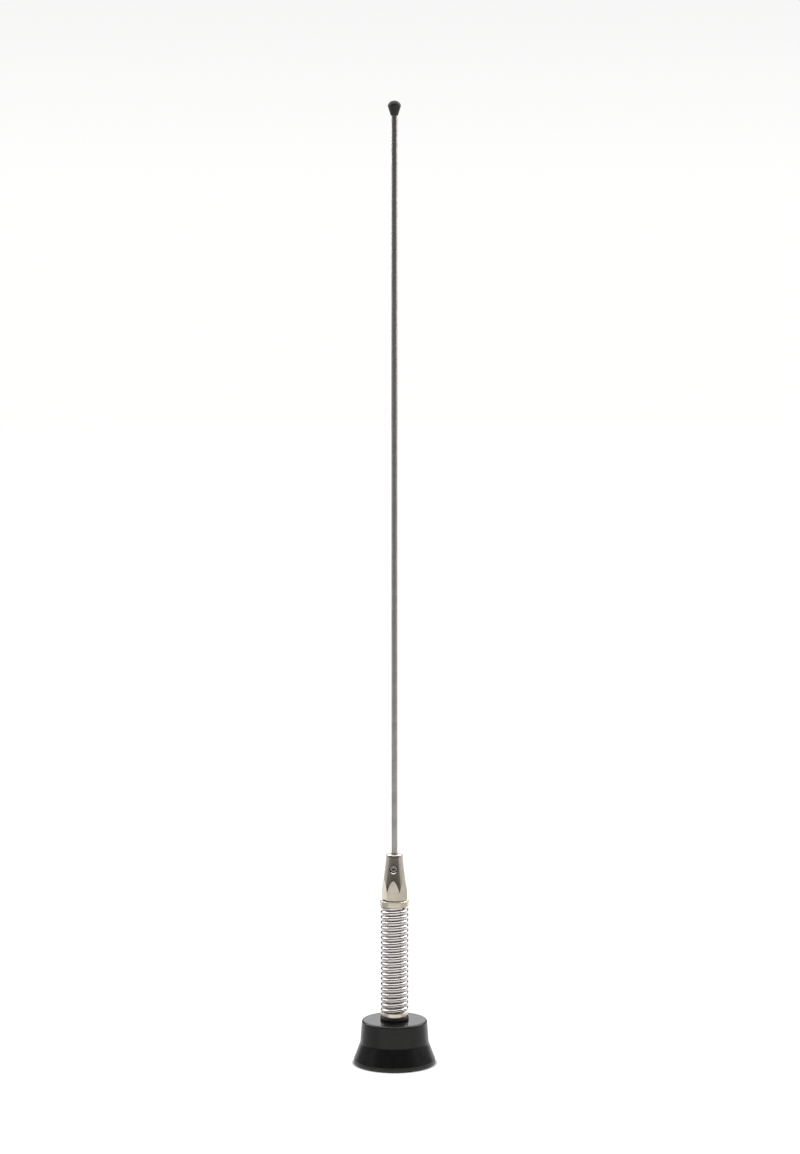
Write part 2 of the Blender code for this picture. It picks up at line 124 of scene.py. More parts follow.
# Whip holder and its screw
ACROSS_FLATS = 11.0
HOLDER_TURN = radians(-6.0)
CORNER_ROUND = 0.22
FOOT_R = 5.4
FOOT_CHAMFER = 0.35  # rise of the chamfer under the corners per millimetre of radius
CONE_FOOT_R = 6.45
CONE_FOOT_Z = 84.8
CONE_SLOPE = 0.150
CONE_HOLLOW = 0.00115
CONE_TOP_Z = 103.75
RIM_R = 3.65
STUD_R = 3.17
STUD_BORE_TOP_Z = 90.0
WHIP_BORE_R = 1.62
WHIP_BORE_Z = 91.0
SCREW_R = 2.0
SCREW_REACH = (1.8, 4.0)
SCREW_PITCH = 0.7
SCREW_THREAD = 0.28
SCREW_HOLE_MOUTH = 4.65  # where its hole begins to widen, from the whip's axis
SOCKET_ACROSS_FLATS = 2.0
SOCKET_DEPTH = 1.2

TIP_WIDEST_Z = 466.2
TIP_NECK_R = 1.72

# Studio, in metres
CAMERA_AT = (0.0027, -1.36, 0.3645)
CAMERA_PITCH = radians(5.221)
LENS = 87.81
FLOOR_R = 8.0
FLOOR_GLOW = 0.74
RIM_SHADOW_START = 0.0002  # inside the base's rim
RIM_SHADOW = 0.002  # over which it fades

# What the metal mirrors of the room and the floor, as brightness
DARK_FRONT = 0.015
FRONT_HORIZON = 0.18
LEFT_WALL = 0.46
RIGHT_WALL = 0.52
WALLS_HIGH_UP = 0.08  # share of the walls' brightness left above their foot
CEILING_LOW, CEILING_HIGH = 1.15, 1.6
CEILING_BEHIND = 0.3  # more, above the back wall
CEILING_EDGE_FRONT = 44.0  # degrees above the horizon, as are the next two
CEILING_EDGE_SIDES = 20.0
CEILING_EDGE_BACK = 6.0
FLOOR_FRONT_FAR = 0.14
FLOOR_FRONT_NEAR = 0.86
FLOOR_FRONT_REACH = 0.68  # metres to where that is halved
FLOOR_LEFT = 0.52
FLOOR_RIGHT = 0.64
FLOOR_BACK = 0.50

record = frame["record"]
SLOT = {part["node"]: part["material_slot"] for part in record["subparts"]}
BODY = {node: body for body, nodes in record["behaviour"]["bodies"].items() for node in nodes}


def z_span(node):
    low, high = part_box(node)
    return low.z / MM, high.z / MM


def radius_of(node):
    """Half a node's width along Y, where the round pieces reach their full radius."""
    low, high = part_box(node)
    return (high.y - low.y) / 2 / MM


def joint_named(name):
    return next(joint for joint in frame["joints"] if joint["name"] == name)


def hinge_height(name):
    return joint_named(name)["pos_m"][2] / MM


# ---------------------------------------------------------------------------- mesh tools


def rounded(corners, steps=5):
    """A closed outline through corners (r, z) or (r, z, radius), the latter rounded off."""
    outline = []
    befores = corners[-1:] + corners[:-1]
    afters = corners[1:] + corners[:1]
    for before, corner, after in zip(befores, corners, afters):
        here = Vector(corner[:2])
        if len(corner) == 2:
            outline.append(tuple(here))
            continue
        radius = corner[2]
        back = (Vector(before[:2]) - here).normalized()
        onward = (Vector(after[:2]) - here).normalized()
        half = back.angle(onward) / 2
        centre = here + (back + onward).normalized() * radius / sin(half)
        first = here + back * radius / tan(half) - centre
        last = here + onward * radius / tan(half) - centre
        for i in range(steps + 1):
            outline.append(tuple(centre + first.lerp(last, i / steps).normalized() * radius))
    return outline


def even_angles(count):
    return [tau * k / count for k in range(count)]


def lathe(section, angles, crease_at=None):
    """A solid about Z whose outline at each angle is section(angle), a closed loop of (r, z) points.

    Point number crease_at of every outline lies on a sharp edge.
    """
    bm = bmesh.new()
    rings = [[bm.verts.new((r * cos(a), r * sin(a), z)) for r, z in section(a)] for a in angles]
    for near, far in zip(rings, rings[1:] + rings[:1]):
        for i in range(len(near)):
            j = (i + 1) % len(near)
            bm.faces.new((near[i], far[i], far[j], near[j]))
        if crease_at is not None:
            bm.edges.get((near[crease_at], far[crease_at])).smooth = False
    bmesh.ops.remove_doubles(bm, verts=bm.verts, dist=1e-4)
    bmesh.ops.recalc_face_normals(bm, faces=bm.faces)
    return bm


def turned(corners, segments=96, steps=5):
    outline = rounded(corners, steps)
    return lathe(lambda angle: outline, even_angles(segments))


def oval(half_width, half_height, sides):
    return [(half_width * cos(a), half_height * sin(a)) for a in even_angles(sides)]


def swept(bm, path, outward, section):
    """Add a closed wire along a path. Outward gives each point's direction for the section's height.

    The grain attribute holds every point's place in the straight wire, so that marks can follow it.
    """
    grain = bm.verts.layers.float_vector["grain"]
    last = len(path) - 1
    along = 0.0
    rings = []
    for i, (point, up) in enumerate(zip(path, outward)):
        tangent = (path[min(i + 1, last)] - path[max(i - 1, 0)]).normalized()
        up = (up - tangent * up.dot(tangent)).normalized()
        across = up.cross(tangent)
        along += (point - path[max(i - 1, 0)]).length
        ring = []
        for x, y in section:
            vert = bm.verts.new(point + across * x + up * y)
            vert[grain] = Vector((x, y, along))
            ring.append(vert)
        rings.append(ring)
    for low, high in zip(rings, rings[1:]):
        for k in range(len(section)):
            n = (k + 1) % len(section)
            bm.faces.new((low[k], low[n], high[n], high[k]))
    bm.faces.new(rings[0])
    bm.faces.new(rings[-1])


def wire_mesh():
    bm = bmesh.new()
    bm.verts.layers.float_vector.new("grain")
    return bm


def crease(bm, limit):
    """Shade smoothly across edges that turn less than some degrees."""
    for face in bm.faces:
        face.smooth = True
    for edge in bm.edges:
        if len(edge.link_faces) == 2 and edge.calc_face_angle() > radians(limit):
            edge.smooth = False


def cut(bm, cutter):
    """Subtract one closed mesh from another and return the result as a new bmesh."""
    objects = []
    for name, source in (("cut_blank", bm), ("cut_tool", cutter)):
        mesh = bpy.data.meshes.new(name)
        source.to_mesh(mesh)
        source.free()
        objects.append(bpy.data.objects.new(name, mesh))
        bpy.context.collection.objects.link(objects[-1])
    blank, tool = objects
    modifier = blank.modifiers.new("cut", "BOOLEAN")
    modifier.operation = "DIFFERENCE"
    modifier.solver = "EXACT"
    modifier.object = tool
    bpy.context.view_layer.update()
    result = bmesh.new()
    result.from_object(blank, bpy.context.evaluated_depsgraph_get())
    for obj in objects:
        bpy.data.objects.remove(obj)
    return result


def add_piece(name, bm, material, stands_for, limit=30.0):
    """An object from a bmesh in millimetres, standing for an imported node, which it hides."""
    crease(bm, limit)
    bmesh.ops.scale(bm, vec=Vector((MM, MM, MM)), verts=bm.verts)
    mesh = bpy.data.meshes.new(name)
    bm.to_mesh(mesh)
    bm.free()
    materials = material if isinstance(material, (list, tuple)) else [material]
    for one in materials:
        mesh.materials.append(one)
    piece = bpy.data.objects.new(name, mesh)
    bpy.context.collection.objects.link(piece)
    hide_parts(stands_for)
    return piece


def add_rigid(name, bm, material, stands_for, limit=30.0):
    """A piece on its node's body, with flat faces that stay flat beside their rounded edges."""
    piece = add_piece(name, bm, material, stands_for, limit)
    flat = piece.modifiers.new("flat_faces", "WEIGHTED_NORMAL")
    flat.mode = "FACE_AREA"
    flat.weight = 100
    flat.keep_sharp = True
    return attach(piece, BODY[stands_for])


# ---------------------------------------------------------------------------- shader tools


class Tree:
    """Adds nodes to one node tree. Each call returns the new node's output socket."""

    def __init__(self, tree):
        self.tree = tree
        tree.nodes.clear()

    def add(self, kind, inputs=None, output=0, **settings):
        node = self.tree.nodes.new(kind)
        for name, value in settings.items():
            setattr(node, name, value)
        for key, value in (inputs or {}).items():
            if isinstance(value, bpy.types.NodeSocket):
                self.tree.links.new(value, node.inputs[key])
            else:
                node.inputs[key].default_value = value
        return node.outputs[output] if node.outputs else None

    def math(self, operation, first, second=0.0):
        return self.add("ShaderNodeMath", {0: first, 1: second}, operation=operation)

    def times(self, first, second):
        return self.math("MULTIPLY", first, second)

    def plus(self, first, second):
        return self.math("ADD", first, second)

    def ramp(self, value, start, end, low=0.0, high=1.0):
        """Goes smoothly from low to high while value goes from start to end."""
        inputs = {"Value": value, "From Min": start, "From Max": end, "To Min": low, "To Max": high}
        return self.add("ShaderNodeMapRange", inputs, interpolation_type="SMOOTHSTEP")

    def near(self, value, centre, width):
        """1 where value is at centre, falling to 0 at width from it."""
        off = self.math("ABSOLUTE", self.math("SUBTRACT", value, centre))
        return self.ramp(off, 0.0, width, 1.0, 0.0)

    def blend(self, share, first, second):
        return self.add("ShaderNodeMix", {0: share, 6: first, 7: second}, output=2, data_type="RGBA")

    def rest_of(self, share):
        return self.math("SUBTRACT", 1.0, share)

    def noise(self, place, scale, detail=2.0):
        inputs = {"Vector": place, "Scale": scale, "Detail": detail}
        return self.add("ShaderNodeTexNoise", inputs)

    def spot(self):
        """The point being shaded, in millimetres."""
        place = self.add("ShaderNodeTexCoord", output="Object")
        return self.add("ShaderNodeVectorMath", {0: place, "Scale": 1 / MM}, operation="SCALE")

    def split(self, vector):
        return [self.add("ShaderNodeSeparateXYZ", {0: vector}, output=i) for i in range(3)]

    def join(self, x, y, z):
        return self.add("ShaderNodeCombineXYZ", {0: x, 1: y, 2: z})

    def stretch(self, vector, x, y, z):
        return self.add("ShaderNodeVectorMath", {0: vector, 1: (x, y, z)}, operation="MULTIPLY")

    def off_axis(self, vector):
        flat = self.stretch(vector, 1, 1, 0)
        return self.add("ShaderNodeVectorMath", {0: flat}, output="Value", operation="LENGTH")

    def turning(self, spot):
        """Place across the marks of a lathe tool: the same all round the Z axis."""
        return self.join(self.off_axis(spot), 0.0, self.split(spot)[2])

    def bump(self, height, depth):
        """A bump as deep as depth, in millimetres, where height goes from 0 to 1."""
        inputs = {"Height": height, "Distance": depth * MM, "Strength": 1.0}
        return self.add("ShaderNodeBump", inputs)


def rgb(red, green, blue):
    return (red, green, blue, 1.0)


def make_material(name, look):
    """A material whose look(tree) gives the inputs of its Principled BSDF."""
    material = bpy.data.materials.new(name)
    material.use_nodes = True
    tree = Tree(material.node_tree)
    shader = tree.add("ShaderNodeBsdfPrincipled", look(tree))
    tree.add("ShaderNodeOutputMaterial", {"Surface": shader})
    return material


# ---------------------------------------------------------------------------- materials


def moulded_plastic(t):
    """Black plastic: eroded texture on the sides, a polished top with faint rings, edges lighter from wear and
    from a painted highlight.
    """
    spot = t.spot()
    height = t.split(spot)[2]
    top_z = z_span("base_housing")[1]
    off_axis = t.off_axis(spot)
    clouds = t.noise(spot, 0.22, 4)
    texture = t.noise(spot, 5.5, 3)
    on_top = t.ramp(height, top_z - 0.35, top_z - 0.02)
    rings = t.noise(t.join(off_axis, 0.0, 0.0), 6.0, 3)
    scuffs = t.ramp(t.noise(t.stretch(spot, 0.5, 0.5, 3.0), 1.1, 5), 0.56, 0.72)
    edges = t.plus(
        t.near(height, LIP_TOP_Z - 0.6, 1.3),
        t.times(t.near(height, top_z - TOP_ROUND / 2, 0.6), t.ramp(off_axis, DRUM_R - 1.5, DRUM_R - 1.0)),
    )
    # Lighter patches on the edges: partly wear from rubbing, partly a painted highlight where the edges catch the
    # light.
    wear_and_edge_highlight = t.times(t.ramp(edges, 0.1, 0.9), t.ramp(t.noise(spot, 1.3, 4), 0.42, 0.62))
    black = t.blend(clouds, rgb(0.0056, 0.0056, 0.0057), rgb(0.0100, 0.0098, 0.0092))
    colour = t.blend(t.times(wear_and_edge_highlight, 0.35), black, rgb(0.032, 0.032, 0.031))
    side_roughness = t.plus(0.22, t.times(t.plus(texture, clouds), 0.06))
    top_roughness = t.plus(0.13, t.plus(t.times(rings, 0.05), t.times(clouds, 0.05)))
    roughness = t.plus(t.times(side_roughness, t.rest_of(on_top)), t.times(top_roughness, on_top))
    roughness = t.plus(roughness, t.plus(t.times(scuffs, 0.06), t.times(wear_and_edge_highlight, -0.08)))
    relief = t.plus(
        t.times(texture, t.ramp(on_top, 0.0, 1.0, 1.0, 0.12)), t.times(t.times(rings, on_top), 0.10)
    )
    return {
        "Base Color": colour,
        "Roughness": roughness,
        "IOR": 1.46,
        "Normal": t.bump(relief, 0.010),
    }


def soft_black(tone, texture_scale, depth, shine):
    """Rubber or vinyl: a fine leathery texture under a thin, uneven bloom."""

    def look(t):
        spot = t.spot()
        texture = t.noise(spot, texture_scale, 4)
        bloom = t.ramp(t.noise(spot, 0.9, 4), 0.40, 0.75)
        dark, pale = (rgb(*(channel * share for channel in tone)) for share in (0.8, 1.7))
        return {
            "Base Color": t.blend(bloom, dark, pale),
            "Roughness": t.plus(shine, t.plus(t.times(bloom, 0.12), t.times(texture, 0.10))),
            "IOR": 1.5,
            "Sheen Weight": 0.06,
            "Sheen Roughness": 0.4,
            "Normal": t.bump(texture, depth),
        }

    return look


def natural_plastic(t):
    """Off-white moulded plastic with slow changes of tone and a satin surface."""
    spot = t.spot()
    clouds = t.noise(spot, 0.35, 4)
    rings = t.noise(t.turning(spot), 4.0, 2)
    return {
        "Base Color": t.blend(clouds, rgb(0.66, 0.61, 0.49), rgb(0.80, 0.77, 0.67)),
        "Roughness": t.plus(0.36, t.times(clouds, 0.14)),
        "Subsurface Weight": 0.15,
        "Subsurface Radius": (1.0, 0.8, 0.6),
        "Subsurface Scale": 0.001,
        "Normal": t.bump(rings, 0.004),
    }


def metal(bright, stained, roughness, marks, marks_per_mm, depth, anisotropic=0.0):
    """A metal or a plating over one. Marks says how the tool ran: turned, drawn or wire.

    Bright and stained are its two tones, which change over a few millimetres; depth is that of the
    tool's marks.
    """

    def look(t):
        spot = t.spot()
        if marks == "turned":
            across = t.turning(spot)
        elif marks == "drawn":
            across = t.stretch(spot, 1, 1, 0.02)
        else:
            grain = t.add("ShaderNodeAttribute", output="Vector", attribute_name="grain")
            across = t.stretch(grain, 1, 1, 0.02)
        place = across if marks == "wire" else spot
        lines = t.noise(across, marks_per_mm, 3)
        stains = t.ramp(t.noise(place, 0.30, 5), 0.38, 0.68)
        pits = t.ramp(t.noise(spot, 7.0, 2), 0.66, 0.74)
        relief = t.plus(lines, t.times(pits, -0.25))
        return {
            "Base Color": t.blend(t.plus(t.times(stains, 0.75), t.times(lines, 0.25)), bright, stained),
            "Metallic": 1.0,
            "Roughness": t.plus(
                roughness, t.plus(t.times(stains, 0.05), t.times(t.math("SUBTRACT", lines, 0.5), 0.10))
            ),
            "Anisotropic": anisotropic,
            "Normal": t.bump(relief, depth),
        }

    return look


def make_materials():
    looks = {
        "base_plastic": moulded_plastic,
        "seal_rubber": soft_black((0.012, 0.012, 0.013), 9.0, 0.012, 0.52),
        "tip_vinyl": soft_black((0.019, 0.019, 0.017), 6.0, 0.010, 0.40),
        "insulator_plastic": natural_plastic,
        "brass": metal(rgb(0.83, 0.62, 0.30), rgb(0.70, 0.47, 0.20), 0.24, "turned", 7.0, 0.006),
        "gold_plate": metal(rgb(0.94, 0.72, 0.32), rgb(0.86, 0.62, 0.26), 0.16, "turned", 8.0, 0.002),
        "copper_wire": metal(rgb(0.68, 0.26, 0.12), rgb(0.50, 0.15, 0.06), 0.22, "drawn", 5.0, 0.002),
        "nickel_plate": metal(rgb(0.75, 0.69, 0.60), rgb(0.69, 0.62, 0.52), 0.10, "turned", 5.5, 0.0022),
        "nickel_drawn": metal(rgb(0.75, 0.69, 0.59), rgb(0.69, 0.62, 0.50), 0.17, "drawn", 4.0, 0.0022),
        "spring_chrome": metal(rgb(0.84, 0.81, 0.80), rgb(0.76, 0.71, 0.69), 0.09, "wire", 4.0, 0.0015),
        "tinned_metal": metal(rgb(0.72, 0.69, 0.64), rgb(0.60, 0.56, 0.50), 0.36, "turned", 4.0, 0.008),
        "tinned_wire": metal(rgb(0.72, 0.69, 0.64), rgb(0.60, 0.56, 0.50), 0.36, "wire", 12.0, 0.010),
        "satin_steel": metal(rgb(0.61, 0.59, 0.56), rgb(0.52, 0.49, 0.46), 0.27, "drawn", 7.0, 0.0022, 0.3),
        "dark_steel": metal(rgb(0.42, 0.40, 0.38), rgb(0.28, 0.26, 0.24), 0.26, "turned", 6.0, 0.004),
    }
    return {name: make_material(name, look) for name, look in looks.items()}


# ---------------------------------------------------------------------------- base


def add_housing(material):
    foot, top = z_span("base_housing")
    ring_r = radius_of("threaded_ring") + SNUG
    seat_top = z_span("contact_insulator")[1] + SNUG
    gasket_top = z_span("base_gasket")[1] + SNUG
    gasket_low, gasket_high = gasket_radii()
    lip_r = radius_of("base_housing")
    corners = [
        (ring_r, foot, 0.15), (gasket_low - SNUG, foot, 0.1), (gasket_low - SNUG, gasket_top),
        (gasket_high + SNUG, gasket_top), (gasket_high + SNUG, foot, 0.1),
        (lip_r, foot, LIP_ROUND), (lip_r, LIP_TOP_Z, LIP_FILLET), (WAIST_R, WAIST_Z, WAIST_FILLET),
        (DRUM_R, top, TOP_ROUND), (STUD_R + SNUG, top, 0.2),
        (STUD_R + SNUG, top - ROOF), (CAVITY_R, top - ROOF, 0.8), (CAVITY_R, seat_top), (ring_r, seat_top),
    ]
    add_rigid("housing_shell", turned(corners, 160, 8), material, "base_housing")


def gasket_radii():
    outer = radius_of("base_gasket")
    return outer - 1.6, outer


def add_gasket(material):
    """A ring with two sealing lips that press on the roof."""
    inner, outer = gasket_radii()
    low, high = z_span("base_gasket")
    middle = (inner + outer) / 2
    valley = low + 0.35
    corners = [
        (inner, high), (inner, low + 0.45, 0.2), (inner + 0.35, low, 0.16), (middle, valley, 0.12),
        (outer - 0.35, low, 0.16), (outer, low + 0.45, 0.2), (outer, high),
    ]
    add_rigid("gasket_ring", turned(corners, 128, 3), material, "base_gasket")


def thread_height(angle, z, pitch):
    """0 at the root and 1 at the crest of a right-handed thread with flattened roots and crests."""
    phase = (z / pitch - angle / tau) % 1.0
    slope = 1 - abs(2 * phase - 1)
    return min(max((slope - 0.12) / 0.74, 0.0), 1.0)


def add_mount_ring(material):
    """The brass ring insert with the roof mount's thread inside it."""
    low, high = z_span("threaded_ring")
    outer = radius_of("threaded_ring")
    shelf = high - RING_SHELF
    rows = 56

    def section(angle):
        wall = []
        for k in range(rows + 1):
            z = low + (shelf - low) * k / rows
            fade = min(1.0, (shelf - z) / 0.5)
            height = thread_height(angle, z, MOUNT_PITCH) * fade
            lead_in = MOUNT_CREST_R + MOUNT_THREAD - (z - low)
            wall.append((max(MOUNT_CREST_R + MOUNT_THREAD * (1 - height), lead_in), z))
        return [
            (outer, low), (outer, high), (RING_SHELF_R, high), (RING_SHELF_R, shelf), *reversed(wall),
        ]

    add_rigid("mount_ring", lathe(section, even_angles(144)), material, "threaded_ring")


def add_contact(gold, brass):
    """The sprung pin in its sleeve, seen from below in the middle of the mount."""
    low, high = z_span("contact_pin")
    head = high - PIN_HEAD
    pin = turned([
        (0, low), (PIN_R, low, 0.45), (PIN_R, head),
        (PIN_HEAD_R, head, 0.1), (PIN_HEAD_R, high, 0.1), (0, high),
    ], 48)
    add_rigid("contact_button", pin, gold, "contact_pin")
    low, high = z_span("contact_retainer")
    outer = radius_of("contact_retainer") + 0.1
    bore = PIN_SLEEVE_BORE_R
    sleeve = turned([(bore, low, 0.15), (outer, low, 0.1), (outer, high), (bore, high)], 48)
    add_rigid("contact_sleeve", sleeve, brass, "contact_retainer")


def add_contact_coil(material):
    """The small spring behind the pin."""
    low, high = z_span("contact_spring")
    radius = radius_of("contact_spring") - CONTACT_WIRE_R
    bm = wire_mesh()
    path, outward = helix(radius, low + CONTACT_WIRE_R, high - CONTACT_WIRE_R, CONTACT_TURNS, 0.0)
    swept(bm, path, outward, oval(CONTACT_WIRE_R, CONTACT_WIRE_R, CONTACT_WIRE_SIDES))
    bmesh.ops.recalc_face_normals(bm, faces=bm.faces)
    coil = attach(add_piece("contact_coil", bm, material, "contact_spring", 50.0), "base")
    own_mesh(coil)


def add_washer(material):
    low = z_span("base_housing")[1] + SNUG
    high = z_span("spring_bottom_ferrule")[0] - SNUG
    outer = radius_of("ferrule_washer")
    corners = [(STUD_R + SNUG, low), (outer, low, 0.35), (outer, high, 0.35), (STUD_R + SNUG, high)]
    add_rigid("rubber_washer", turned(corners), material, "ferrule_washer")


# ---------------------------------------------------------------------------- spring


def add_bottom_ferrule(material):
    low, top = z_span("spring_bottom_ferrule")
    flange = radius_of("spring_bottom_ferrule")
    high = z_span("flex_spring")[0] - SNUG
    stud_top = z_span("base_stud")[1] + SNUG
    corners = [
        (STUD_R + SNUG, low), (flange, low, 0.55), (flange, high, 0.2), (PLUG_R, high),
        (PLUG_R, top, 0.5), (SLEEVE_BORE_R, top, 0.1), (SLEEVE_BORE_R, top - SLEEVE_BORE),
        (0, top - SLEEVE_BORE), (0, stud_top), (STUD_R + SNUG, stud_top),
    ]
    add_rigid("ferrule_bottom", turned(corners), material, "spring_bottom_ferrule")


def add_top_ferrule(material):
    flange = radius_of("spring_top_ferrule")
    low, top = z_span("spring_top_ferrule")
    spring_top = z_span("flex_spring")[1] + SNUG
    high = z_span("whip_holder")[0] - COLLAR_GAP
    corners = [
        (SLEEVE_BORE_R, low, 0.1), (PLUG_R, low, 0.5), (PLUG_R, spring_top), (flange, spring_top, 0.25),
        (flange, high, 0.35), (STUD_R, high), (STUD_R, top, 0.3), (0, top),
        (0, low + SLEEVE_BORE), (SLEEVE_BORE_R, low + SLEEVE_BORE),
    ]
    add_rigid("ferrule_top", turned(corners), material, "spring_top_ferrule")


def helix(radius, low, high, turns, start, first=0.0, last=1.0):
    """Centre line of a coil and its outward directions between two shares of its length."""
    steps = round((last - first) * turns * 64)
    path, outward = [], []
    for i in range(steps + 1):
        share = first + (last - first) * i / steps
        angle = start + tau * turns * share
        out = Vector((cos(angle), sin(angle), 0.0))
        path.append(out * radius + Vector((0, 0, low + (high - low) * share)))
        outward.append(out)
    return path, outward


def bend_rings_whole(piece, sides):
    """Give all the points round the wire one share of the bend, so that it keeps its section."""
    shares = piece.data.attributes["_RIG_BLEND"].data
    values = np.zeros(len(shares), np.float32)
    shares.foreach_get("value", values)
    rings = values.reshape(-1, sides)
    rings[:] = rings.mean(axis=1, keepdims=True)
    shares.foreach_set("value", rings.ravel())


def add_halves(name, make_half, stands_for, sides, limit):
    """A long piece inside or around the spring, in two halves: one for each of the spring's hinges."""
    hinges = (("base", "spring", "spring_flex_fore_aft"), ("spring", "whip_mount", "spring_flex_sideways"))
    for half, (before, after, joint) in enumerate(hinges):
        middle = hinge_height(joint)
        piece = add_piece(f"{name}_{('lower', 'upper')[half]}", *make_half(half), stands_for, limit)
        start = (0, 0, (middle - HINGE_SPAN / 2) * MM)
        end = (0, 0, (middle + HINGE_SPAN / 2) * MM)
        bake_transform(piece, before, after, start=start, end=end)
        bend_rings_whole(piece, sides)


def add_spring(material):
    """A round wire whose two end coils are ground flat, each to half the wire at its tip."""
    low, high = z_span("flex_spring")
    turns = (high - low) / SPRING_PITCH

    def half(number):
        bm = wire_mesh()
        ends = (number / 2, (number + 1) / 2)
        path, outward = helix(SPRING_MEAN_R, low, high, turns, SPRING_START, *ends)
        swept(bm, path, outward, oval(WIRE_R, WIRE_R, WIRE_SIDES))
        for vert in bm.verts:
            vert.co.z = min(max(vert.co.z, low), high)
        bmesh.ops.recalc_face_normals(bm, faces=bm.faces)
        return bm, material

    add_halves("flex_spring", half, "flex_spring", WIRE_SIDES, 40.0)


def add_braid(material):
    """Flat strands that pass over and under each other, round a slack centre line."""
    sides = 6
    bore = SLEEVE_BORE - 0.3
    low = z_span("shunt_braid")[0]
    high = z_span("shunt_braid")[1]
    slack_low = z_span("braid_bottom_sleeve")[1]
    slack_high = z_span("braid_top_sleeve")[0]
    crossing = BRAID_LEAD / BRAID_STRANDS / 2

    def strand(bm, start, way, z_from, z_to):
        path, outward = [], []
        steps = round((z_to - z_from) / crossing * 4)
        for i in range(steps + 1):
            z = z_from + (z_to - z_from) * i / steps
            share = min(max((z - slack_low) / (slack_high - slack_low), 0.0), 1.0)
            bow = BRAID_SLACK * sin(pi * share) ** 2 * cos(3 * pi * share)
            angle = start + way * tau * (z - low) / BRAID_LEAD
            radius = BRAID_R + way * RIBBON[1] * cos(pi * (z - low) / crossing)
            out = Vector((cos(angle), sin(angle), 0.0))
            path.append(Vector((bow, 0, z)) + out * radius)
            outward.append(out)
        swept(bm, path, outward, oval(*RIBBON, sides))

    def half(number):
        bm = wire_mesh()
        middle = (low + high) / 2
        ends = ((low, middle), (middle, high))[number]
        for way in (1, -1):
            for start in even_angles(BRAID_STRANDS):
                strand(bm, start, way, *ends)
        bmesh.ops.recalc_face_normals(bm, faces=bm.faces)
        return bm, material

    add_halves("shunt_braid", half, "shunt_braid", sides, 50.0)


# ---------------------------------------------------------------------------- whip


def hexagon_radius(angle, apothem, corner_round=0.0):
    """Distance from its middle to a hexagon's edge. Angle 0 faces the middle of a flat."""
    from_corner = abs(angle % (pi / 3) - pi / 6)
    centre = (apothem - corner_round) / cos(pi / 6)
    rounded_to = atan2(corner_round * sin(pi / 6), centre + corner_round * cos(pi / 6))
    if from_corner < rounded_to:
        return centre * cos(from_corner) + sqrt(corner_round**2 - (centre * sin(from_corner)) ** 2)
    return apothem / cos(pi / 6 - from_corner)


def hexagon_angles(facing, count, corner_width):
    """Even angles about Z from the middle of a flat, with more of them round each corner."""
    extra = [corner_width * k / 3 for k in (-3, -2, -1, 1, 2, 3)] if corner_width else []
    corners = [pi / 6 + pi / 3 * k for k in range(6)]
    angles = even_angles(count) + [corner + more for corner in corners for more in extra]
    return [facing + angle for angle in sorted(angles)]


def cone_radius(z):
    rise = z - CONE_FOOT_Z
    return CONE_FOOT_R - CONE_SLOPE * rise + CONE_HOLLOW * rise**2


def cone_height(radius):
    root = sqrt(CONE_SLOPE**2 - 4 * CONE_HOLLOW * (CONE_FOOT_R - radius))
    return CONE_FOOT_Z + (CONE_SLOPE - root) / (2 * CONE_HOLLOW)


def lay_along_screw(bm):
    """Turn a piece made upright about Z onto the set screw's axis."""
    out = Vector((sin(HOLDER_TURN), -cos(HOLDER_TURN), 0.0))
    turn = Vector((0, 0, 1)).rotation_difference(out).to_matrix()
    bmesh.ops.rotate(bm, verts=bm.verts, matrix=turn)
    low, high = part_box("set_screw")
    bmesh.ops.translate(bm, verts=bm.verts, vec=(0, 0, (low.z + high.z) / 2 / MM))
    return bm


def add_holder(turned_metal, drawn_metal):
    low, high = z_span("whip_holder")
    facing = HOLDER_TURN - pi / 2
    cone_steps = 16
    flat_top = 3  # the outline's point where the flat meets the cone

    def section(angle):
        side = hexagon_radius(angle - facing, ACROSS_FLATS / 2, CORNER_ROUND)
        start = cone_height(side)
        heights = [start + (CONE_TOP_Z - start) * k / cone_steps for k in range(cone_steps)]
        rim = rounded([
            (cone_radius(CONE_TOP_Z), CONE_TOP_Z, 0.12), (RIM_R, high, 0.12),
            (WHIP_BORE_R + 0.12, high), (WHIP_BORE_R, high - 0.12),
            (0, WHIP_BORE_Z), (cone_radius(start), start),
        ], 3)[:-2]
        return [
            (STUD_R + SNUG, low), (FOOT_R, low), (side, low + (side - FOOT_R) * FOOT_CHAMFER),
            *((cone_radius(z), z) for z in heights),
            *rim, (WHIP_BORE_R, WHIP_BORE_Z), (0, WHIP_BORE_Z),
            (0, STUD_BORE_TOP_Z), (STUD_R + SNUG, STUD_BORE_TOP_Z),
        ]

    bm = lathe(section, hexagon_angles(facing, 144, radians(1.1)), crease_at=flat_top)
    hole = SCREW_R + 0.08
    mouth = SCREW_HOLE_MOUTH
    cutter = lay_along_screw(turned([
        (0, 1.0), (hole, 1.0), (hole, mouth), (hole + 1.0, mouth + 1.0), (hole + 1.0, 8.0), (0, 8.0),
    ], 64))
    bm = cut(bm, cutter)
    for face in bm.faces:
        centre = face.calc_center_median()
        upright = abs(face.normal.z) < 0.02
        outside = Vector((centre.x, centre.y)).length > ACROSS_FLATS / 2 - 0.1
        face.material_index = 1 if upright and outside else 0
    add_rigid("holder_body", bm, [turned_metal, drawn_metal], "whip_holder")


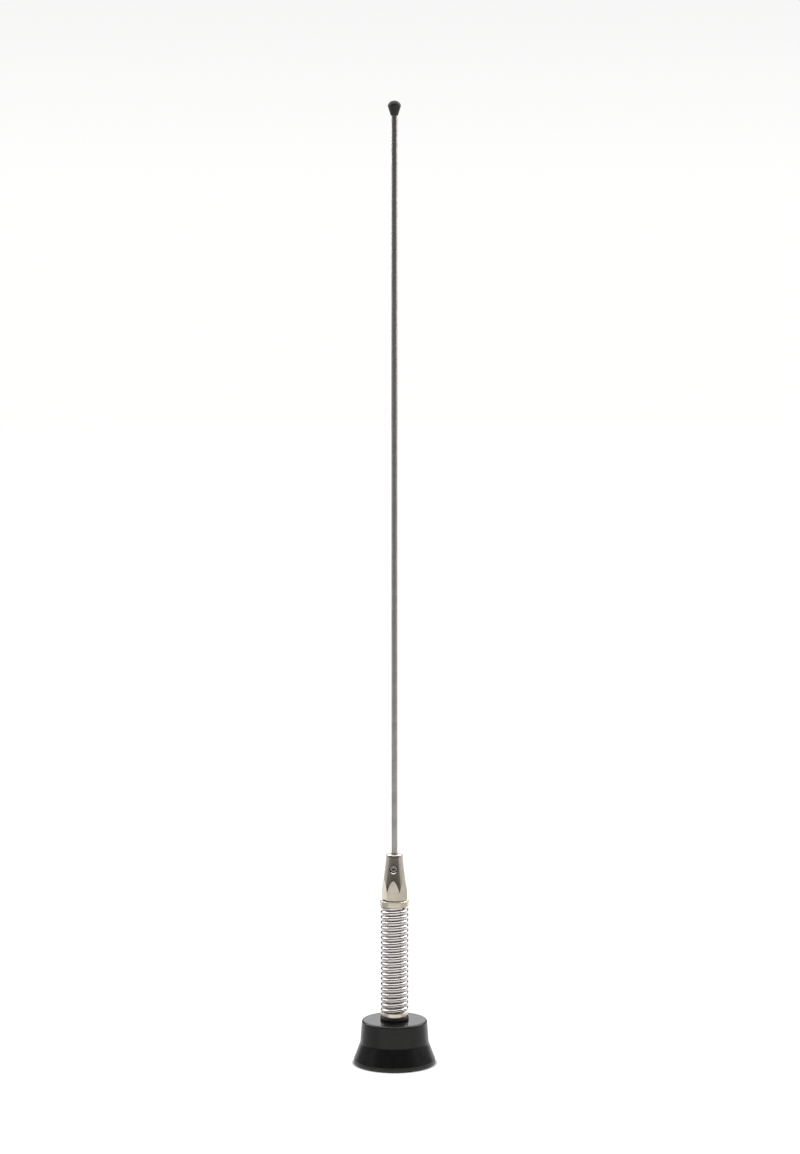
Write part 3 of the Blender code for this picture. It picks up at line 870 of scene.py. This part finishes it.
def add_set_screw(material):
    """A socket set screw with a cup at its point and a real thread."""
    point, end = SCREW_REACH
    rows = 40

    def section(angle):
        socket = hexagon_radius(angle, SOCKET_ACROSS_FLATS / 2)
        thread = []
        for k in range(rows + 1):
            z = point + 0.3 + (end - point - 0.55) * k / rows
            fade = min(1.0, (z - point - 0.3) / 0.3, (end - 0.25 - z) / 0.3)
            height = thread_height(angle, z, SCREW_PITCH) * max(fade, 0.0)
            thread.append((SCREW_R - SCREW_THREAD * (1 - height), z))
        return [
            (0, point + 0.25), (0.7, point), (0.95, point), *thread, (SCREW_R - 0.35, end),
            (socket + 0.12, end), (socket, end - 0.1), (socket, end - SOCKET_DEPTH),
            (0, end - SOCKET_DEPTH - 0.3),
        ]

    bm = lathe(section, hexagon_angles(0.0, 72, 0.0))
    add_rigid("clamp_screw", lay_along_screw(bm), material, "set_screw")


def add_whip(material):
    low, high = z_span("whip_rod")
    radius = radius_of("whip_rod")
    corners = [(0, low), (radius, low, 0.3), (radius, high, 0.3), (0, high)]
    add_rigid("whip_wire", turned(corners, 64), material, "whip_rod")


def add_tip(material):
    """A ball with a hard corner at its widest and a straight cone below it down to the whip."""
    low, high = z_span("tip_cap")
    widest = radius_of("tip_cap")
    whip_top = z_span("whip_rod")[1]
    bore = radius_of("whip_rod") + SNUG
    dome = [
        (widest * cos(a), TIP_WIDEST_Z + (high - TIP_WIDEST_Z) * sin(a))
        for a in (pi / 2 * k / 20 for k in range(20))
    ]
    corners = [
        (bore, low, 0.06), (TIP_NECK_R, low, 0.08), (widest - 0.05, TIP_WIDEST_Z - 0.22),
        *dome, (0, high), (0, whip_top + SNUG), (bore, whip_top + SNUG),
    ]
    add_rigid("tip_ball", turned(corners, 72, 3), material, "tip_cap")


def finish_inner_nodes(materials):
    """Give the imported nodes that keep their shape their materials."""
    keep = (
        "contact_insulator", "coil_former", "matching_coil", "coil_tap_lug", "base_stud", "stud_nut",
        "braid_bottom_sleeve", "braid_top_sleeve",
    )
    for name in keep:
        for slot in frame["nodes"][name].material_slots:
            slot.material = materials[SLOT[name]]


# ---------------------------------------------------------------------------- studio


def degrees_from_front(t, x, y):
    """Degrees about Z from -Y, positive towards +X."""
    return t.times(t.math("ARCTAN2", x, t.times(y, -1.0)), 180 / pi)


def climb(t, up, start, end, low, high):
    """Goes from low to high while the angle above the horizon goes from start to end degrees."""
    return t.ramp(up, sin(radians(start)), sin(radians(end)), low, high)


def ceiling_edge(t, away):
    """Sine of the angle above the horizon at which the ceiling begins."""
    front = sin(radians(CEILING_EDGE_FRONT))
    sides = sin(radians(CEILING_EDGE_SIDES))
    back = sin(radians(CEILING_EDGE_BACK))
    to_sides = t.ramp(away, 58.0, 72.0, front, sides)
    to_back = t.ramp(away, 150.0, 170.0, 0.0, sides - back)
    return t.math("SUBTRACT", to_sides, to_back)


def mirrored_room(t, direction):
    """Brightness of the room in a direction: dark in front, grey walls, a bright ceiling and back."""
    x, y, up = t.split(direction)
    turn = degrees_from_front(t, x, y)
    away = t.math("ABSOLUTE", turn)
    horizon = climb(t, up, 1.5, 6.0, FRONT_HORIZON, DARK_FRONT)
    front = t.times(horizon, t.ramp(away, 60.0, 75.0, 1.0, 0.0))
    left = t.ramp(turn, -108.0, -62.0, LEFT_WALL, 0.0)
    right = t.ramp(turn, 56.0, 66.0, 0.0, RIGHT_WALL)
    walls = t.times(t.plus(left, right), climb(t, up, 0.0, 4.0, 1.0, WALLS_HIGH_UP))
    below = t.plus(front, walls)
    overhead = t.ramp(t.math("SUBTRACT", up, ceiling_edge(t, away)), 0.0, 0.10)
    behind = t.ramp(away, 140.0, 165.0, 0.0, CEILING_BEHIND)
    ceiling = t.plus(climb(t, up, 22.0, 50.0, CEILING_LOW, CEILING_HIGH), behind)
    return t.plus(t.times(below, t.rest_of(overhead)), t.times(ceiling, overhead))


def make_world():
    """White to the camera. The metal mirrors a room instead."""
    world = bpy.data.worlds.new("studio")
    bpy.context.scene.world = world
    world.use_nodes = True
    t = Tree(world.node_tree)
    direction = t.add("ShaderNodeTexCoord", output="Generated")
    lit = mirrored_room(t, direction)
    seen = t.ramp(t.split(direction)[2], 0.04, 0.12, 1.0, 0.925)
    from_camera = t.add("ShaderNodeLightPath", output="Is Camera Ray")
    strength = t.plus(t.times(seen, from_camera), t.times(lit, t.rest_of(from_camera)))
    colour = t.blend(from_camera, rgb(1.0, 1.0, 1.0), rgb(1.0, 1.0, 0.995))
    background = t.add("ShaderNodeBackground", {"Color": colour, "Strength": strength})
    t.add("ShaderNodeOutputWorld", {"Surface": background})


def paper_with_glow(t, distance):
    """What the camera sees of the floor, with a painted shadow at the base's rim where the glow fades out."""
    rim = radius_of("base_housing") * MM
    darkest = rim - RIM_SHADOW_START
    # Painted shadow: the glow is gone under the base's rim and comes back over a few millimetres outside it.
    strength = t.ramp(distance, darkest, darkest + RIM_SHADOW, 0.0, FLOOR_GLOW)
    paper = t.add("ShaderNodeBsdfDiffuse", {"Color": rgb(0.36, 0.36, 0.355)})
    glow = t.add("ShaderNodeEmission", {"Color": rgb(1, 1, 1), "Strength": strength})
    return t.add("ShaderNodeAddShader", {0: paper, 1: glow})


def mirrored_floor(t, x, y, distance):
    """What the metal mirrors of the floor: dimmer on the left and far in front, brighter behind, and darker close
    to the base as a painted shade.
    """
    away = t.math("ABSOLUTE", degrees_from_front(t, x, y))
    spread = t.math("POWER", t.times(distance, 1 / FLOOR_FRONT_REACH), 2.0)
    # Painted shade: the mirrored floor is darker within a few centimetres of the base, where the base shades it.
    painted_base_shade = t.ramp(distance, 0.03, 0.10, 0.70, 1.0)
    fading = t.math("DIVIDE", FLOOR_FRONT_NEAR, t.plus(1.0, spread))
    front = t.times(painted_base_shade, t.plus(FLOOR_FRONT_FAR, fading))
    behind = t.ramp(away, 112.0, 130.0, 0.0, FLOOR_BACK)
    back = t.times(behind, t.ramp(distance, 0.5, 1.1, 1.0, 0.15))
    sides = t.plus(t.ramp(x, -0.1, 0.1, FLOOR_LEFT, FLOOR_RIGHT), back)
    in_front = t.ramp(away, 44.0, 58.0, 1.0, 0.0)
    level = t.plus(t.times(front, in_front), t.times(sides, t.rest_of(in_front)))
    colour = t.blend(in_front, rgb(1.0, 1.0, 1.0), rgb(1.0, 0.985, 0.96))
    return t.add("ShaderNodeEmission", {"Color": colour, "Strength": level})


def make_floor():
    """A white floor that nearly glows, so that it shows only a trace of shadow; at the base's rim the glow fades
    out as a painted shadow.
    """
    bm = bmesh.new()
    bmesh.ops.create_circle(bm, cap_ends=True, segments=96, radius=FLOOR_R)
    mesh = bpy.data.meshes.new("floor")
    bm.to_mesh(mesh)
    bm.free()
    floor = bpy.data.objects.new("floor", mesh)
    bpy.context.collection.objects.link(floor)

    material = bpy.data.materials.new("white_floor")
    material.use_nodes = True
    mesh.materials.append(material)
    t = Tree(material.node_tree)
    place = t.add("ShaderNodeTexCoord", output="Object")
    x, y, _ = t.split(place)
    distance = t.off_axis(place)
    in_mirror = t.add("ShaderNodeLightPath", output="Is Glossy Ray")
    layers = {0: in_mirror, 1: paper_with_glow(t, distance), 2: mirrored_floor(t, x, y, distance)}
    t.add("ShaderNodeOutputMaterial", {"Surface": t.add("ShaderNodeMixShader", layers)})


def add_softbox(name, location, size, watts):
    light = bpy.data.lights.new(name, "AREA")
    light.shape = "RECTANGLE"
    light.size, light.size_y = size
    light.energy = watts
    softbox = bpy.data.objects.new(name, light)
    softbox.location = location
    aim = Vector((0, 0, 0.2)) - Vector(location)
    softbox.rotation_euler = aim.to_track_quat("-Z", "Y").to_euler()
    softbox.visible_camera = False
    bpy.context.collection.objects.link(softbox)


def make_camera():
    camera = bpy.data.objects.new("camera", bpy.data.cameras.new("camera"))
    camera.data.lens = LENS
    camera.data.clip_end = 100.0
    camera.location = CAMERA_AT
    camera.rotation_euler = (pi / 2 - CAMERA_PITCH, 0.0, 0.0)
    bpy.context.collection.objects.link(camera)
    bpy.context.scene.camera = camera


def make_studio():
    make_world()
    make_floor()
    add_softbox("softbox_left", (-0.9, 0.5, 0.8), (0.5, 0.9), 4.0)
    add_softbox("softbox_right", (0.9, 0.4, 0.7), (0.4, 0.8), 3.0)
    make_camera()
    bpy.context.scene.view_settings.view_transform = "Standard"


def main():
    materials = make_materials()
    add_housing(materials["base_plastic"])
    add_gasket(materials["seal_rubber"])
    add_mount_ring(materials["brass"])
    add_contact(materials["gold_plate"], materials["brass"])
    add_contact_coil(materials["spring_chrome"])
    add_washer(materials["seal_rubber"])
    add_bottom_ferrule(materials["nickel_plate"])
    add_spring(materials["spring_chrome"])
    add_braid(materials["tinned_wire"])
    add_top_ferrule(materials["nickel_plate"])
    add_holder(materials["nickel_plate"], materials["nickel_drawn"])
    add_set_screw(materials["dark_steel"])
    add_whip(materials["satin_steel"])
    add_tip(materials["tip_vinyl"])
    finish_inner_nodes(materials)
    make_studio()


main()
